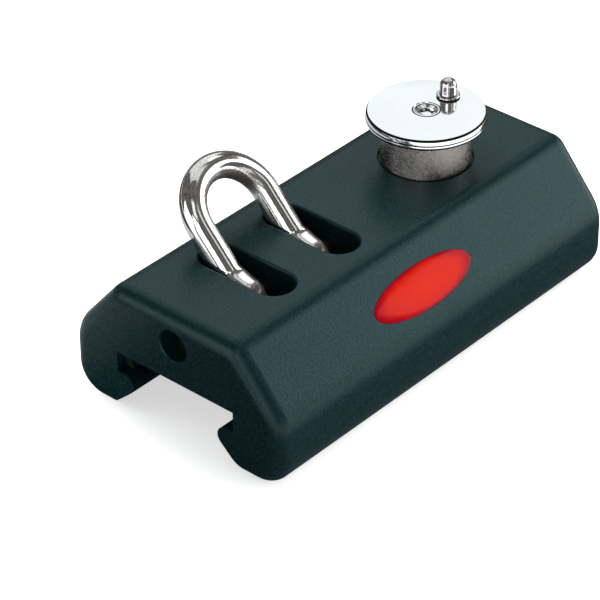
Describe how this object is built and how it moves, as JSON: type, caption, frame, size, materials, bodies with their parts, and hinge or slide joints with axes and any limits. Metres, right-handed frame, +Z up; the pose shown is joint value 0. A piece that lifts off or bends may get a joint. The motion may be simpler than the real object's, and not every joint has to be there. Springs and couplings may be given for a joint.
{
  "type": "genoa car",
  "caption": "Deck track car with a moulded body that straddles a T-track, a swinging round-bar loop for a block, and a spring-loaded pull-up stop plunger with a round knob.",
  "frame": {"origin": "bottom centre of the car, between its two lips' feet", "axes": "+X along the track from the loop's end to the plunger's end, +Y across the track, +Z up"},
  "size_m": [0.119, 0.064, 0.0518],
  "materials": {
    "body": "black hard-anodised casting, fine satin grain",
    "acetal": "black acetal, smooth",
    "polished_steel": "polished stainless steel",
    "turned_steel": "turned stainless steel",
    "badge": "glossy red, domed and bare"
  },
  "bodies": {
    "car": {"car_body": "body", "liner_left": "acetal", "liner_right": "acetal", "liner_screws": "turned_steel", "pivot_pin": "turned_steel", "pivot_plug": "turned_steel", "plunger_guide": "turned_steel", "plunger_spring": "turned_steel", "badge": "badge"},
    "loop": {"bail": "polished_steel"},
    "lift_stage": {"spring_seat": "turned_steel"},
    "stop_plunger": {"plunger": "turned_steel", "cross_pin": "turned_steel", "knob": "polished_steel", "knob_screw": "turned_steel", "finger_stud": "polished_steel"}
  },
  "joints": [
    {"name": "bail_swing", "type": "hinge", "parent": "car", "child": "loop", "pos_m": [-0.0245, 0, 0.02605], "axis": [1, 0, 0], "range_deg": [0, 87]},
    {"name": "plunger_lift", "type": "slide", "parent": "car", "child": "lift_stage", "axis": [0, 0, 1], "range_m": [0, 0.008], "stiffness_N_per_m": 1500, "springref_m": -0.007, "deforming": ["plunger_spring"]},
    {"name": "knob_turn", "type": "hinge", "parent": "lift_stage", "child": "stop_plunger", "pos_m": [0.0291, 0, 0.03], "axis": [0, 0, 1], "continuous": true}
  ]
}
